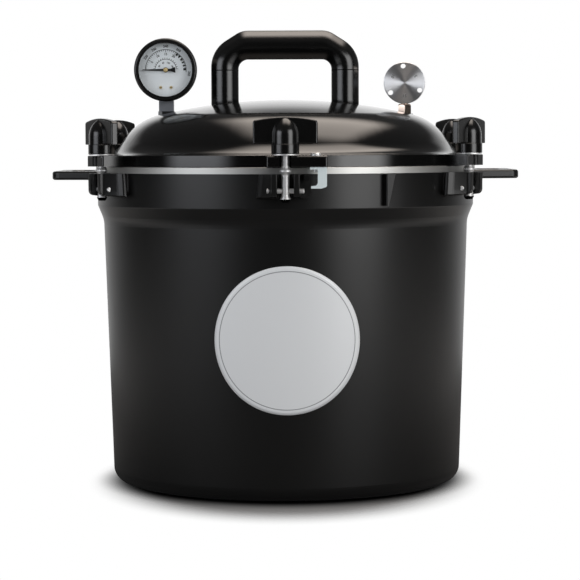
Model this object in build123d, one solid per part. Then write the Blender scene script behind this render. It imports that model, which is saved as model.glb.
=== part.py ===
# Pressure canner: a cast pot and a domed lid, clamped by six swing bolts with wing nuts.
# Millimetres. +Z is up, the pot stands on Z = 0 and its front faces -Y.
from build123d import *
from math import acos, asin, cos, degrees, pi, radians, sin, tan
import os

os.makedirs("parts", exist_ok=True)

# Pot casting
wall_foot_r = 155.2  # outer wall carried down to the base
wall_high_r = 162.7  # outer wall under the band
wall_high_z = 234
wall_t = 6.7
base_corner_r = 12.5
floor_t = 8
floor_corner_r = 10
band_r = 168
band_low_z = 247
band_top_z = 276
band_edge_r = 2.5
band_cove_r = 22
rim_r = 169.5
pot_top_z = 281.7
mouth_r = 156
bevel_h = 5
bevel_w = 2.6
sink = 4  # how far an added shape runs into its casting
wedge_angle = 29  # left edge of the alignment wedge on the band
wedge_top_w = 9.8
wedge_low_w = 3.5
wedge_proud = 6.3
wedge_edge_r = 1.2
catch_x = 15  # the lid hook's catch, beside the front ears
catch_w = 4.2
catch_reach = 181.5
catch_low_z = 270.5
catch_top_z = 275.5

# Swing clamps, drawn at the front and turned to their places
clamp_count = 6
clamp_step = 360 / clamp_count
bolt_circle_r = 182
pivot_z = 262.4
pin_r = 2.1
pin_half = 15.5
pin_clearance = 0.05
ear_in = 6.8
ear_out = 11.5
ear_r = 188
ear_low_z = 257.3
ear_corner_r = 4.5
pad_half = 21.5
pad_corner_r = 6
ear_gap_r = 171
ear_root_r = 178.5  # where the ears spread into their pads
pad_proud = 0.8
bolt_r = 3.5
bolt_top_z = 314
waist_r = 3.4  # the bar below its swell
foot_r = 4.4
foot_drop = 7  # from the pivot down to the foot's widest ring
foot_flare = 3.3
foot_round = 2.6
collar_r = 5.2
collar_z = 278.6
collar_h = 5.5
washer_r = 11
washer_t = 0.9
washer_gap = 0.45
washer_hole_r = 3.9
nut_gap = 0.1
nut_collar_r = 11.5
nut_collar_h = 8
nut_boss_r = 10.8
nut_boss_h = 21.6  # over the collar
nut_boss_straight = 7.5
nut_tip_r = 2.5
wing_half = 26.6
wing_t = 6.5
wing_end_h = 19.3
wing_mid_h = 22.5
nut_bore_h = 24
nut_seat_r = 6
nut_bore_r = 4
insert_r = 5.95
insert_h = 13
thread_clearance = 0.05

# Lid casting
lid_low_z = 282
flange_r = 169
flange_top_z = 291.3
crown_z = 339.8
crown_r = 500
crown_edge = 112  # where the crown meets the shoulder
shoulder_r = 54.57
dome_foot_r = 151.5
dome_foot_fillet = 3
lid_t = 6
spigot_r = 147
spigot_low_z = 277
seal_clearance = 0.5
lug_half = 15.5
lug_r = 188.5
lug_root_r = 155
lug_edge_r = 1.9
lug_long_half = 34.5  # the front lug's right side
slot_half = 4.6
boss_r = 7.5
boss_h = 8
fitting_low_z = 312  # where the gauge's and the vent's threads end
mark_angle = 31
mark_half = 3
mark_l = 9
plug_neck_r = 5
through = 40  # a cutter's length past both faces of the dome

# Top handle
post_out = 66
post_in = 41.5
foot_out = 62
foot_in = 37.5
foot_low_z = 318
post_foot_z = 335.5
bar_low_z = 376
bar_top_z = 401.7
handle_half_y = 13
post_top_z = 384.5
bar_flat_half = 38.6
side_facet = (6.6, 9.5)  # chamfer from the flank: across the front, then back along the side
front_facet = (3.4, 2.6)  # shallower chamfer between that one and the front
facet_crease_r = 1.5
handle_screw_x = 52
screw_r = 2.5
screw_top_z = 353
screw_head_r = 5
screw_head_h = 3.5

# Side handles
grip_reach = 204.5
grip_half = 52
grip_root_half = 62
grip_top_z = 277.5
grip_t = 7.5
grip_corner_r = 8
grip_edge_r = 2
grip_inside_x = 120  # a point well inside the wall
finger_x = 183
finger_w = 20
finger_l = 66

# Lid hook: a bent strip under the front lug, and its screw
hook_left = 26.5
hook_right = 34
hook_foot_left = 21
hook_top_left = 20
hook_foot_z = 264.4
hook_front = -187.2
hook_foot_back = -177
hook_top_back = -174
hook_t = 2
hook_screw_r = 2
hook_screw_x = 25
hook_screw_y = -180
hook_head_r = 4.3
hook_head_h = 2.4

# Dial gauge, facing the front
gauge_x = -106.2
gauge_z = 366.8
bezel_r = 28
bezel_front = -18
bezel_lip = 2
case_r = 26.3
case_in_r = 24.6
case_back = 12
case_wall = 2
dial_r = 25.1
dial_seen_r = 23.75
dial_back = -8.7
dial_t = 0.8
lens_t = 1.5
stem_half = 6.5
stem_low_z = 330.2
gauge_nut_h = 3.2
gauge_thread_r = 4.9
tang_half = 4.5
tang_top_z = 349
tang_back = 6
bezel_back = -9
dial_screw_x = 4.6
dial_screw_v = -15.5
dial_screw_r = 0.6

# Gauge movement: a toothed sector that turns the pointer's pinion
gear_module = 0.6
pinion_teeth = 12
sector_teeth = 42  # on the full circle
sector_first = -7
sector_last = 1
gear_front = -5
gear_t = 2
arbor_r = 0.8
tube_r = 19.7
tube_w = 2.4
plate_front = -1.5
needle_front = -12.4
needle_l = 19
tail_l = 8.6
tail_half = 2.6
link_start = (12.7, -15.1)
link_stop = (-2.3, -20.4)
link_front = -6.6
link_t = 0.9

# Vent and regulator weight
vent_x = 107
vent_hex = 11.2
vent_seat_z = 327.2
vent_hex_top_z = 336
vent_hex_bevel = 1.6
vent_pipe_r = 3.2
vent_bore_r = 1.6
weight_z = 354.7
weight_r = 18.5
weight_half = 6.5
weight_turn = -3.5
seat_r = 4.2
seat_depth = 10.4
cross_hole_r = 2.25
cross_circle_r = 15.1
seat_count = 3
cross_hole_turn = 94.5

# Racks
rack_r = 138
rack_t = 1.6
rack_h = 13.6
rack_gap = 0.2
rack_hole_r = 10
rack_rings = ((1, 0), (6, 48), (12, 98))  # holes in a ring, ring radius


def save(shape, node):
    export_step(shape, f"parts/{node}.step")


def group(shapes):
    return Compound([solid for shape in shapes for solid in shape.solids()])


def turned(outline):
    # a closed outline of radius and height, turned about the Z axis
    return revolve(Plane.XZ * make_face(outline), Axis.Z)


def rod(radius, low, high, x=0, y=0):
    return Pos(x, y, low) * extrude(Circle(radius), high - low)


def hexagon(across, low, high, x=0, turn=0):
    outline = Rot(0, 0, turn) * RegularPolygon(across / 2, 6, major_radius=False)
    return Pos(x, 0, low) * extrude(outline, high - low)


def block(x0, x1, y0, y1, z0, z1):
    size = (x1 - x0, y1 - y0, z1 - z0)
    return Pos(x0, y0, z0) * Box(*size, align=(Align.MIN, Align.MIN, Align.MIN))


def at_clamp(shape, index):
    return Rot(0, 0, clamp_step * index) * shape


def side_cut(points, radii, half):
    # a YZ outline, as wide as half on both sides of the middle
    face = make_face(FilletPolyline(*points, radius=radii, close=True))
    return extrude(Plane.YZ * face, half, both=True)


# Dome curves, shared by the lid's two faces and by what sits on them
crown_centre_z = crown_z - crown_r
crown_angle = degrees(asin(crown_edge / crown_r))
shoulder_u = (crown_r - shoulder_r) * sin(radians(crown_angle))
shoulder_v = crown_centre_z + (crown_r - shoulder_r) * cos(radians(crown_angle))
plug_z = crown_centre_z + crown_r * cos(radians(crown_angle))
plug_place = Pos(0, crown_edge, plug_z) * Rot(-crown_angle, 0, 0)


def dome_curve(depth, foot_r):
    # crown and shoulder arcs, depth below the outer face, down to the radius foot_r
    start = 90 - crown_angle
    stop = degrees(acos((foot_r - shoulder_u) / (shoulder_r - depth)))
    crown = CenterArc((0, crown_centre_z), crown_r - depth, 90, -crown_angle)
    shoulder = CenterArc((shoulder_u, shoulder_v), shoulder_r - depth, start, stop - start)
    return crown, shoulder


def make_pot():
    outer = FilletPolyline(
        (0, 0), (wall_foot_r, 0), (wall_high_r, wall_high_z), (band_r, band_low_z), (band_r, band_top_z),
        (rim_r, band_top_z), (rim_r, pot_top_z), (0, pot_top_z),
        radius=[0, base_corner_r, band_cove_r, band_edge_r, 0, 0, 0.6, 0], close=True)
    cavity = FilletPolyline(
        (0, floor_t), (wall_foot_r - wall_t, floor_t), (mouth_r, pot_top_z - bevel_h),
        (mouth_r + bevel_w, pot_top_z), (mouth_r + bevel_w, pot_top_z + 5), (0, pot_top_z + 5),
        radius=[0, floor_corner_r, 0, 0, 0, 0], close=True)
    pot = turned(outer)

    half_plan = [(ear_in, -ear_gap_r), (ear_in, -ear_r), (ear_out, -ear_r), (ear_out, -ear_root_r),
                 (pad_half, -band_r - pad_proud), (pad_half, -band_r + sink)]
    half_radii = [1.5, 1.2, 1.2, 8, 1, 0]
    plan = half_plan + [(-x, y) for x, y in reversed(half_plan)]
    plan = FilletPolyline(*plan, radius=half_radii + half_radii[::-1], close=True)
    ears = extrude(make_face(plan), band_top_z)
    pad_low_z = ear_low_z - 1.5
    ears = ears & side_cut(
        [(-ear_r, band_top_z), (-ear_r + pad_proud, ear_low_z), (-band_r + sink, pad_low_z),
         (-band_r + sink, band_top_z)],
        [0.8, ear_corner_r, 0, 0], pad_half)
    pad_front = make_face(FilletPolyline(
        (-pad_half, band_top_z), (pad_half, band_top_z), (pad_half, pad_low_z), (-pad_half, pad_low_z),
        radius=[0, 0, pad_corner_r, pad_corner_r], close=True))
    ears = ears & extrude(Plane.XZ * pad_front, ear_r + sink)
    ears = ears - Pos(0, -bolt_circle_r, pivot_z) * Rot(0, 90, 0) * Cylinder(pin_r + 0.02, 2 * pin_half)
    for index in range(clamp_count):
        pot = pot + at_clamp(ears, index)

    grip_plan = make_face(FilletPolyline(
        (mouth_r, -grip_root_half), (grip_reach, -grip_half), (grip_reach, grip_half),
        (mouth_r, grip_root_half), (grip_inside_x, 0),
        radius=[0, grip_corner_r, grip_corner_r, 0, 0], close=True))
    grip_plan = grip_plan - Pos(finger_x, 0) * RectangleRounded(finger_w, finger_l, finger_w / 2 - 0.1)
    grip = Pos(0, 0, grip_top_z - grip_t) * extrude(grip_plan, grip_t)
    rounded = [edge for edge in grip.edges().group_by(Axis.Z)[0] + grip.edges().group_by(Axis.Z)[-1]
               if edge.center().X > mouth_r]
    grip = fillet(rounded, grip_edge_r)
    pot = pot + grip + Rot(0, 0, 180) * grip

    # alignment wedge, and the hook's catch
    wedge_top_z = band_top_z - 0.6
    wedge_low_z = band_low_z + 2
    wedge = Polyline((0, wedge_top_z), (wedge_top_w, wedge_top_z), (wedge_low_w, wedge_low_z),
                     (0, wedge_low_z), close=True)
    wedge = Pos(0, -band_r + sink, 0) * extrude(Plane.XZ * make_face(wedge), wedge_proud + sink)
    front = wedge.faces().sort_by(Axis.Y)[0]
    wedge = fillet(front.edges().sort_by(SortBy.LENGTH)[-2:], wedge_edge_r)
    catch = block(catch_x, catch_x + catch_w, -catch_reach, -band_r + sink, catch_low_z, catch_top_z)
    catch = fillet(catch.edges().filter_by(Axis.Y), 1.4)
    pot = pot + Rot(0, 0, wedge_angle) * wedge + catch
    return pot - turned(cavity)


def make_lid():
    crown, shoulder = dome_curve(0, dome_foot_r)
    inner_crown, inner_shoulder = dome_curve(lid_t, spigot_r)
    seal_r = mouth_r + bevel_w - seal_clearance
    rim = Polyline(shoulder @ 1, (flange_r, flange_top_z), (flange_r, lid_low_z), (seal_r, lid_low_z),
                   (seal_r - bevel_w, spigot_low_z), (spigot_r, spigot_low_z), inner_shoulder @ 1)
    axis_line = Line(inner_crown @ 0, crown @ 0)
    face = make_face([crown, shoulder, *rim.edges(), inner_shoulder, inner_crown, axis_line])
    foot = face.vertices().sort_by_distance(Vertex(dome_foot_r, flange_top_z, 0))[0]
    face = fillet(foot, dome_foot_fillet)
    lid = revolve(Plane.XZ * face, Axis.Z)

    lug_side = side_cut(
        [(-lug_r, lid_low_z), (-lug_r, flange_top_z), (-lug_root_r, flange_top_z), (-lug_root_r, lid_low_z)],
        [0.8, lug_edge_r, 0, 0], lug_long_half)
    for index in range(clamp_count):
        right = lug_long_half if index == 0 else lug_half
        plan = make_face(FilletPolyline(
            (-lug_half, -lug_root_r), (-lug_half, -lug_r), (right, -lug_r), (right, -lug_root_r),
            radius=[0, 1.5, 1.5, 0], close=True))
        lug = extrude(plan, flange_top_z + 1) & lug_side
        lid = lid + at_clamp(lug, index)
    slot = rod(slot_half, lid_low_z - 2, flange_top_z + 2, 0, -bolt_circle_r)
    slot = slot + block(-slot_half, slot_half, -lug_r - 2, -bolt_circle_r, lid_low_z - 2, flange_top_z + 2)
    for index in range(clamp_count):
        lid = lid - at_clamp(slot, index)

    # bosses and holes for the gauge, the vent, the plug and the handle's screws
    gauge_seat_z = stem_low_z - gauge_nut_h
    for x, seat_z, hole_r in ((gauge_x, gauge_seat_z, gauge_thread_r), (vent_x, vent_seat_z, gauge_thread_r)):
        lid = lid + rod(boss_r, seat_z - boss_h, seat_z, x)
        lid = lid - rod(boss_r, seat_z, seat_z + boss_h, x)
        lid = lid - rod(hole_r, seat_z - through, seat_z + 1, x)
    lid = lid - plug_place * rod(plug_neck_r, -through, through)
    for x in (-handle_screw_x, handle_screw_x):
        lid = lid - rod(screw_r, foot_low_z, crown_z + 5, x)
    lid = lid - rod(hook_screw_r, lid_low_z - 2, flange_top_z + 2, hook_screw_x, hook_screw_y)

    mark = Polyline((-mark_half, 0), (mark_half, 0), (0, mark_l), close=True)
    mark = Pos(0, -flange_r + 1, flange_top_z - 1) * extrude(make_face(mark), 2)
    return lid + Rot(0, 0, mark_angle) * mark


def make_top_handle():
    outline = [(foot_out, foot_low_z), (post_out, post_foot_z), (post_out, post_top_z),
               (bar_flat_half, bar_top_z)]
    outline = outline + [(-x, z) for x, z in reversed(outline)]
    inside = [(-foot_in, foot_low_z), (-post_in, post_foot_z), (-post_in, bar_low_z)]
    inside = inside + [(-x, z) for x, z in reversed(inside)]
    half_out = [0, 14, 28, 20]
    half_in = [0, 14, 8.5]
    radii = half_out + half_out[::-1] + half_in + half_in[::-1]
    face = make_face(FilletPolyline(*outline, *inside, radius=radii, close=True))
    handle = extrude(Plane.XZ * face, handle_half_y, both=True)
    for side in (0, -1):
        for facet in (side_facet, front_facet):
            flank = handle.faces().sort_by(Axis.Y)[side]
            edges = [edge for edge in flank.edges() if edge.center().Z > foot_low_z + 0.1]
            handle = chamfer(edges, *facet, reference=flank)
    creases = [edge for edge in handle.edges()
               if abs((edge @ 0).Y - (edge @ 1).Y) < 0.01 and edge.center().Z > foot_low_z + 0.1]
    handle = fillet(creases, facet_crease_r)
    crown, shoulder = dome_curve(0, dome_foot_r)
    under = Polyline(shoulder @ 1, (0, (shoulder @ 1).Y), crown @ 0)
    dome = turned([crown, shoulder, *under.edges()])
    handle = handle - Pos(0, 0, 0.05) * dome
    for x in (-handle_screw_x, handle_screw_x):
        handle = handle - rod(screw_r, foot_low_z, screw_top_z + 1, x)
    return handle


def make_handle_screw(x):
    outer_x = handle_screw_x + screw_head_r
    head_top = crown_centre_z + ((crown_r - lid_t) ** 2 - outer_x ** 2) ** 0.5
    head = rod(screw_head_r, head_top - screw_head_h, head_top, x)
    return head + rod(screw_r, head_top - 1, screw_top_z, x)


def make_eye_bolt():
    # a turned bar with a swell and a flared foot, drilled across for its pin
    foot_z = pivot_z - foot_drop
    low_z = foot_z - foot_round
    half_h = collar_h / 2
    outline = FilletPolyline(
        (0, low_z), (foot_r - foot_round / 2, low_z), (foot_r, foot_z), (waist_r, foot_z + foot_flare),
        (waist_r, collar_z - half_h), (collar_r, collar_z), (bolt_r, collar_z + half_h),
        (bolt_r, bolt_top_z - 0.8), (bolt_r - 0.8, bolt_top_z), (0, bolt_top_z),
        radius=[0, 1.5, 0.4, 3, 2.5, 2, 2.5, 0, 0, 0], close=True)
    hole = Pos(0, 0, pivot_z) * Rot(0, 90, 0) * Cylinder(pin_r + pin_clearance, 4 * foot_r)
    return Pos(0, -bolt_circle_r, 0) * (turned(outline) - hole)


washer_low_z = flange_top_z + washer_gap
nut_low_z = washer_low_z + washer_t + nut_gap


def make_washer():
    return rod(washer_r, washer_low_z, washer_low_z + washer_t, 0, -bolt_circle_r) - rod(
        washer_hole_r, washer_low_z - 1, washer_low_z + washer_t + 1, 0, -bolt_circle_r)


def make_insert():
    body = rod(insert_r, nut_low_z, nut_low_z + insert_h, 0, -bolt_circle_r)
    return body - rod(bolt_r + thread_clearance, nut_low_z - 1, nut_low_z + insert_h + 1, 0, -bolt_circle_r)


def make_wing_nut():
    shoulder_z = nut_low_z + nut_collar_h
    boss_start = shoulder_z + nut_boss_straight
    top_z = shoulder_z + nut_boss_h
    seat_top_z = nut_low_z + insert_h
    bore_top_z = nut_low_z + nut_bore_h
    core = turned(Polyline((0, nut_low_z - 1), (nut_seat_r, nut_low_z - 1), (nut_seat_r, seat_top_z),
                           (nut_bore_r, seat_top_z), (nut_bore_r, bore_top_z), (0, bore_top_z), close=True))
    ogive = TangentArc((nut_boss_r, boss_start), (nut_tip_r, top_z), tangent=(0, 1))
    sides = Polyline(ogive @ 1, (0, top_z), (0, nut_low_z), (nut_collar_r, nut_low_z),
                     (nut_collar_r, shoulder_z), (nut_boss_r, shoulder_z), ogive @ 0)
    boss = turned([ogive, *sides.edges()]) - core
    crest = ThreePointArc((wing_half, shoulder_z + wing_end_h), (0, shoulder_z + wing_mid_h),
                          (-wing_half, shoulder_z + wing_end_h))
    edge = Polyline(crest @ 1, (-wing_half, shoulder_z), (wing_half, shoulder_z), crest @ 0)
    plate = make_face([crest, *edge.edges()])
    plate = fillet(plate.vertices().group_by(Axis.Y)[-1], 2.5)
    wings = extrude(Plane.XZ * plate, wing_t / 2, both=True)
    flanks = wings.edges().group_by(Axis.Y)
    wings = fillet(flanks[0] + flanks[-1], 1.4) - core
    return Pos(0, -bolt_circle_r, 0) * (boss + wings)


def make_pin():
    pin = Pos(0, -bolt_circle_r, pivot_z) * Rot(0, 90, 0) * Cylinder(pin_r, 2 * pin_half)
    return fillet(pin.edges(), 0.7)


def make_hook():
    inner_z = hook_foot_z + hook_t
    outline = FilletPolyline(
        (hook_left, lid_low_z), (hook_right, lid_low_z), (hook_right, hook_foot_z + 1.4),
        (hook_left + 2.5, hook_foot_z), (hook_foot_left, hook_foot_z), (hook_foot_left, inner_z),
        (hook_left, inner_z + 0.4), radius=[0, 0, 1.6, 3, 0.8, 0.8, 3], close=True)
    leg = Pos(0, hook_front + hook_t, 0) * extrude(Plane.XZ * make_face(outline), hook_t)
    foot = block(hook_foot_left, hook_left + 3.5, hook_front, hook_foot_back, hook_foot_z, inner_z)
    top = block(hook_top_left, hook_right, hook_front, hook_top_back, lid_low_z - hook_t, lid_low_z)
    hole = rod(hook_screw_r, lid_low_z - through, lid_low_z + through, hook_screw_x, hook_screw_y)
    return leg + foot + top - hole


def make_hook_screw():
    head = rod(hook_head_r, flange_top_z, flange_top_z + hook_head_h, hook_screw_x, hook_screw_y)
    head = fillet(head.edges().group_by(Axis.Z)[-1], 1.6)
    return head + rod(hook_screw_r, lid_low_z - 2 * hook_t, flange_top_z + 0.5, hook_screw_x, hook_screw_y)


def facing(shape):
    # a piece of the gauge, drawn about the Z axis with the back at +Z, set in place facing the front
    return Pos(gauge_x, 0, gauge_z) * Rot(-90, 0, 0) * shape


def make_case():
    shell = rod(case_r, bezel_front + bezel_lip + lens_t, case_back)
    shell = fillet(shell.edges().group_by(Axis.Z)[-1], 3)
    shell = shell - rod(case_in_r, bezel_front, case_back - case_wall) - rod(dial_r, bezel_front, dial_back)
    slot = block(gauge_x - tang_half, gauge_x + tang_half, 0, tang_back, stem_low_z, gauge_z)
    return facing(shell) - slot


def make_bezel():
    ring = rod(bezel_r, bezel_front, bezel_back)
    ring = fillet(ring.edges().group_by(Axis.Z)[0], 2.2)
    ring = ring - rod(dial_seen_r, bezel_front - 1, 0)
    return facing(ring - rod(case_r, bezel_front + bezel_lip, 0))


def make_socket():
    stem = block(gauge_x - stem_half, gauge_x + stem_half, -stem_half, stem_half, stem_low_z, gauge_z)
    stem = stem - facing(rod(case_r, -through, through))
    tang = block(gauge_x - tang_half, gauge_x + tang_half, 0, tang_back, stem_low_z + 2, tang_top_z)
    thread = rod(gauge_thread_r, fitting_low_z, stem_low_z + 1, gauge_x)
    bore = rod(vent_bore_r, fitting_low_z - 1, tang_top_z - 3, gauge_x, tang_back / 2)
    return stem + tang + thread - bore


def make_gauge_nut():
    nut = hexagon(2 * stem_half, stem_low_z - gauge_nut_h, stem_low_z, gauge_x)
    return nut - rod(gauge_thread_r, fitting_low_z, gauge_z, gauge_x)


def make_lens():
    lens_front = bezel_front + bezel_lip
    return facing(rod(case_r - 0.2, lens_front, lens_front + lens_t))


def tooth_ring(count, angles):
    # straight-flanked teeth on the pitch circle of a gear with count teeth, one at each angle
    pitch_r = gear_module * count / 2
    root_r = pitch_r - 1.15 * gear_module
    tip_r = pitch_r + 0.85 * gear_module
    thick = 0.2 * pi * gear_module  # half a tooth on the pitch circle, with backlash
    slope = tan(radians(20))
    root_half = thick + slope * (pitch_r - root_r)
    tip_half = thick - slope * (tip_r - pitch_r)
    flank = [(root_r - 0.4, root_half), (root_r, root_half), (tip_r, tip_half)]
    shape = make_face(Polyline(*flank, *[(u, -v) for u, v in reversed(flank)], close=True))
    return [Rot(0, 0, angle) * shape for angle in angles], root_r


# the sector's axis is this far below the pointer's
sector_drop = gear_module * (pinion_teeth + sector_teeth) / 2


def face_on(sketch, front, thick):
    # a flat piece of the movement, drawn as seen from the front, set at its depth
    return Pos(gauge_x, front + thick, gauge_z) * extrude(Plane.XZ * sketch, thick)


def make_sector():
    pitch = 360 / sector_teeth
    angles = [90 + pitch * step for step in range(sector_first, sector_last + 1)]
    teeth, root_r = tooth_ring(sector_teeth, angles)
    middle = (angles[0] + angles[-1]) / 2
    rays = [(through * cos(radians(angle)), through * sin(radians(angle)))
            for angle in (angles[0] - 3, middle, angles[-1] + 3)]
    wedge = make_face(Polyline((0, 0), *rays, close=True))
    arc = (Circle(root_r) - Circle(root_r - 2.6)) & wedge
    arm = Rot(0, 0, middle) * Pos((root_r - 5) / 2 - 0.5, 0) * Rectangle(root_r + 4, 3)
    plate = arc + arm + Circle(2.2)
    for tooth in teeth:
        plate = plate + tooth
    sector = face_on(Pos(0, -sector_drop) * plate, gear_front, gear_t)
    pin = face_on(Pos(0, -sector_drop) * Circle(arbor_r), gear_front, -gear_front)
    return sector + pin


def make_pointer():
    pitch = 360 / pinion_teeth
    teeth, root_r = tooth_ring(pinion_teeth, [270 + pitch * (step + 0.5) for step in range(pinion_teeth)])
    wheel = Circle(root_r)
    for tooth in teeth:
        wheel = wheel + tooth
    edge = [(-needle_l, 0.25), (0, 0.8), (tail_l / 2, 1), (tail_l, tail_half)]
    needle = Polyline(*edge, *[(u, -v) for u, v in reversed(edge)], close=True)
    hand = face_on(make_face(needle) + Circle(2.3), needle_front, 0.5)
    hub = face_on(Circle(1.5), needle_front - 0.5, 3)
    arbor = face_on(Circle(arbor_r), needle_front, -needle_front)
    return hand + hub + arbor + face_on(wheel, gear_front, gear_t)


def make_movement_plate():
    plate = Pos(0, -9) * RectangleRounded(13, 26, 3)
    for v in (0, -sector_drop):
        plate = plate - Pos(0, v) * Circle(arbor_r + pin_clearance)
    frame = face_on(plate, plate_front, -plate_front)
    for side in (-1, 1):
        post = Pos(side * dial_screw_x, dial_screw_v) * (Circle(dial_screw_r + 0.3) - Circle(dial_screw_r))
        frame = frame + face_on(post, dial_back, plate_front - dial_back)
    return frame


def make_dial():
    plate = Circle(dial_r) - Circle(2)
    for side in (-1, 1):
        plate = plate - Pos(side * dial_screw_x, dial_screw_v) * Circle(dial_screw_r)
    return face_on(plate, dial_back - dial_t, dial_t)


def make_dial_screw(side):
    place = Pos(side * dial_screw_x, dial_screw_v)
    head = face_on(place * Circle(1.3), dial_back - dial_t - 0.6, 0.6)
    return head + face_on(place * Circle(dial_screw_r), dial_back - dial_t, 3)


def make_bourdon_tube():
    path = CenterArc((0, 0), tube_r, 250, -300)
    tube = face_on(trace(path, tube_w), 1, 4)
    return tube - block(gauge_x - tang_half, gauge_x + tang_half, 0, tang_back, stem_low_z, tang_top_z)


def make_link():
    bar = trace(Line(link_start, link_stop), 1.4) + Pos(*link_start) * Circle(1.1)
    peg_front = link_front + link_t
    peg = face_on(Pos(*link_start) * Circle(0.7), peg_front, 1 - peg_front)
    return face_on(bar, link_front, link_t) + peg


weight_seat_z = weight_z - weight_r + seat_depth


def make_vent():
    corner_r = vent_hex / 3 ** 0.5
    bevel_z = vent_hex_top_z - vent_hex_bevel
    bevel = turned(Polyline((0, vent_seat_z), (corner_r, vent_seat_z), (corner_r, bevel_z),
                            (corner_r - vent_hex_bevel, vent_hex_top_z), (0, vent_hex_top_z), close=True))
    pipe = hexagon(vent_hex, vent_seat_z, vent_hex_top_z, vent_x, 30) & Pos(vent_x, 0, 0) * bevel
    pipe = pipe + rod(vent_pipe_r, vent_hex_top_z - 1, weight_seat_z - 0.3, vent_x)
    pipe = pipe + rod(gauge_thread_r, fitting_low_z, vent_seat_z + 1, vent_x)
    return pipe - rod(vent_bore_r, fitting_low_z - 1, weight_seat_z, vent_x)


def make_weight():
    disc = fillet(Cylinder(weight_r, 2 * weight_half).edges(), 0.8)
    seat = Rot(0, 90, 0) * rod(seat_r, weight_r - seat_depth, weight_r + seat_depth)
    for step in range(seat_count):
        angle = 360 * step / seat_count
        cross = Pos(cross_circle_r, 0) * Cylinder(cross_hole_r, 4 * weight_half)
        disc = disc - Rot(0, 0, cross_hole_turn + angle) * cross - Rot(0, 0, 270 + angle) * seat
    return Pos(vent_x, 0, weight_z) * Rot(0, 0, weight_turn) * Rot(90, 0, 0) * disc


def make_plug():
    lip_z = -lid_t - 0.6
    outline = FilletPolyline(
        (0, -lid_t - 4), (plug_neck_r - 1, -lid_t - 4), (plug_neck_r + 2, lip_z), (plug_neck_r, lip_z),
        (plug_neck_r, 0.4), (plug_neck_r + 4, 0.4), (plug_neck_r + 3.6, 3.2), (0, 4.4),
        radius=[0, 1, 0, 0, 0, 0.4, 2, 0], close=True)
    return plug_place * turned(outline)


def make_rack(low):
    top = low + rack_h
    rack = rod(rack_r, low, top) - rod(rack_r - rack_t, low - 1, top - rack_t)
    rack = fillet(rack.edges().group_by(Axis.Z)[-1], 1.2)
    hole = rod(rack_hole_r, low - 1, top + 1)
    for count, ring_r in rack_rings:
        for step in range(count):
            rack = rack - Rot(0, 0, 360 * step / count) * Pos(ring_r, 0, 0) * hole
    return rack


# Every node, written once
save(make_pot(), "pot_body")
save(make_lid(), "lid_cover")
save(group(at_clamp(make_pin(), index) for index in range(clamp_count)), "hinge_pins")
clamp_pieces = {"eye_bolt": make_eye_bolt(), "washer": make_washer(), "nut_insert": make_insert(),
                "wing_nut": make_wing_nut()}
for name, piece in clamp_pieces.items():
    for index in range(clamp_count):
        save(at_clamp(piece, index), f"{name}_{index + 1}")
save(make_top_handle(), "top_handle")
save(group(make_handle_screw(x) for x in (-handle_screw_x, handle_screw_x)), "handle_screws")
save(make_hook(), "lid_hook")
save(make_hook_screw(), "hook_screw")
save(make_case(), "gauge_case")
save(make_bezel(), "gauge_bezel")
save(make_lens(), "gauge_lens")
save(make_dial(), "gauge_dial")
save(group(make_dial_screw(side) for side in (-1, 1)), "dial_screws")
save(make_pointer(), "gauge_pointer")
save(make_socket(), "gauge_socket")
save(make_gauge_nut(), "gauge_nut")
save(make_movement_plate(), "movement_plate")
save(make_sector(), "sector_gear")
save(make_bourdon_tube(), "bourdon_tube")
save(make_link(), "gauge_link")
save(make_vent(), "vent_pipe")
save(make_weight(), "regulator_weight")
save(make_plug(), "overpressure_plug")
save(make_rack(floor_t + rack_gap), "canning_rack_lower")
save(make_rack(floor_t + rack_h + 2 * rack_gap), "canning_rack_upper")
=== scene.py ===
from math import cos, pi, radians, sin

import bpy
import numpy as np
from mathutils import Euler, Matrix, Vector


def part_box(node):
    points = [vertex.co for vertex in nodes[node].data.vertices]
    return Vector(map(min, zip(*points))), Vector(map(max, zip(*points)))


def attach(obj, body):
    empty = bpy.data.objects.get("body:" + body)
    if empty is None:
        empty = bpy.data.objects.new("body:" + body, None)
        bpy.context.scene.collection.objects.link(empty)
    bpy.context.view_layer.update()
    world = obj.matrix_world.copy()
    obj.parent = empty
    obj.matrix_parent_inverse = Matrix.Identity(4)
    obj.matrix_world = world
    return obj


# Pressure canner: finishes for the cast pot, lid, clamps and gauge, and the small printed and cut details.
# Metres, in the frame of the solids: +Z up, the pot stands on Z = 0, its front faces -Y.

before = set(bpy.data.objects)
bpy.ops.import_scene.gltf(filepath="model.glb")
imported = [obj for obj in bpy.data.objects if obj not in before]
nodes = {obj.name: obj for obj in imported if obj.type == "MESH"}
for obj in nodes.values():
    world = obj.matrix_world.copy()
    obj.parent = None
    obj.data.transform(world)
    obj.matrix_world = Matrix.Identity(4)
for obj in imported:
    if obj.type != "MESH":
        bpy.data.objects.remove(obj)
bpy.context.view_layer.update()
scene = bpy.context.scene
mm = 0.001
clampCount = 6
clamps = range(1, clampCount + 1)
print("frame:", len(nodes), "solids")


def middleOf(node):
    # half way between the corners of a node's box
    low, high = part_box(node)
    return tuple((a + b) / 2 for a, b in zip(low, high))


# Nodes

def linear(hexColour):
    # sRGB hex to linear RGBA
    srgb = np.array([int(hexColour[i:i + 2], 16) for i in (1, 3, 5)]) / 255
    rgb = np.where(srgb <= 0.04045, srgb / 12.92, ((srgb + 0.055) / 1.055) ** 2.4)
    return (*rgb.tolist(), 1.0)


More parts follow.
